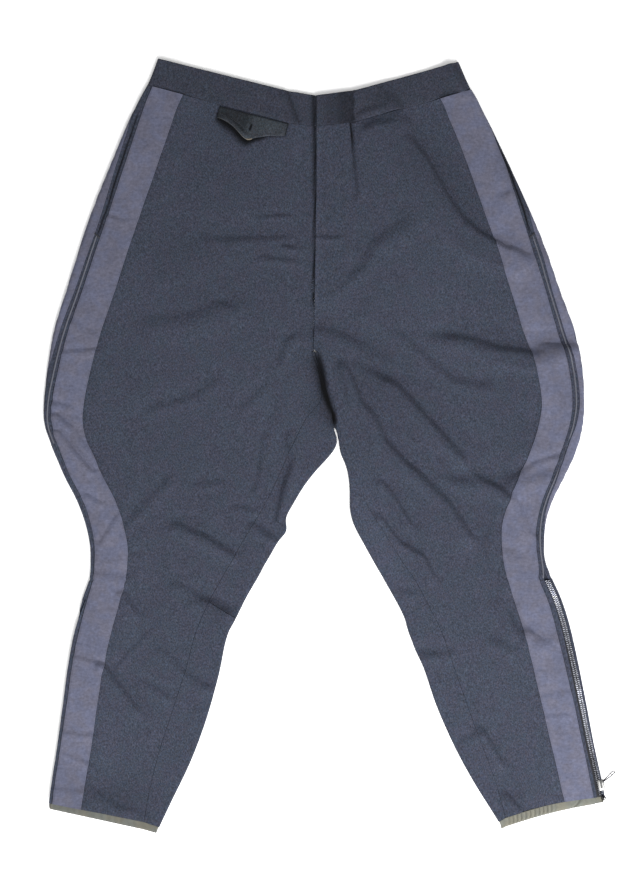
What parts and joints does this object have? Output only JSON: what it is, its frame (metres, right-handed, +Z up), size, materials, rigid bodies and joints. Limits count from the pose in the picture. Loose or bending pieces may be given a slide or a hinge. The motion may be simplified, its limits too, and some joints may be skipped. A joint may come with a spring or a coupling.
{
  "type": "riding breeches with side stripes, laid flat",
  "caption": "Men's riding breeches with wide side stripes, a front opening, a watch-pocket flap and tapered legs with side zips, laid out flat.",
  "frame": {"origin": "middle of the garment's box, on the surface that it lies on", "axes": "+X towards the wearer's left, +Y up to the waist, +Z up off the surface, out of the front of the garment"},
  "size_m": [0.7442, 1.0081, 0.0123],
  "materials": {
    "cloth": "dull fine wool twill, speckled dark slate blue",
    "waistband": "dull fine wool twill, dark slate blue",
    "stripe": "smooth fulled wool, lavender grey",
    "piping": "smooth fulled wool, lavender grey",
    "hem_tape": "ribbed cotton tape, olive grey",
    "zip_tape": "black woven cotton tape",
    "zip_metal": "dulled zip metal",
    "nickel": "worn nickel plate"
  },
  "bodies": {
    "garment": {"waistband_r": "waistband", "waistband_l": "waistband", "front_r": "cloth", "front_l": "cloth", "back_r": "cloth", "back_l": "cloth", "calf_r": "cloth", "calf_l": "cloth", "stripe_front_r": "stripe", "stripe_front_l": "stripe", "stripe_back_r": "stripe", "stripe_back_l": "stripe", "piping_r": "piping", "piping_l": "piping", "watch_flap": "waistband", "hem_tape_r": "hem_tape", "hem_tape_l": "hem_tape", "zip_tape_r": "zip_tape", "zip_tape_l": "zip_tape", "zip_chain_r": "zip_metal", "zip_chain_l": "zip_metal", "slider_r": "nickel", "slider_l": "nickel", "hem_loop_l": "zip_tape"},
    "tab_l": {"pull_tab_l": "nickel"},
    "tab_r": {"pull_tab_r": "nickel"}
  },
  "joints": [
    {"name": "tab_l_hinge", "type": "hinge", "parent": "garment", "child": "tab_l", "pos_m": [0.35442, -0.43617, 0.01085], "axis": [0.6428, -0.766, 0], "range_deg": [0, 165]},
    {"name": "tab_r_hinge", "type": "hinge", "parent": "garment", "child": "tab_r", "pos_m": [-0.35876, -0.45052, 0.0059], "axis": [0, 0, 1], "range_deg": [0, 140]}
  ]
}
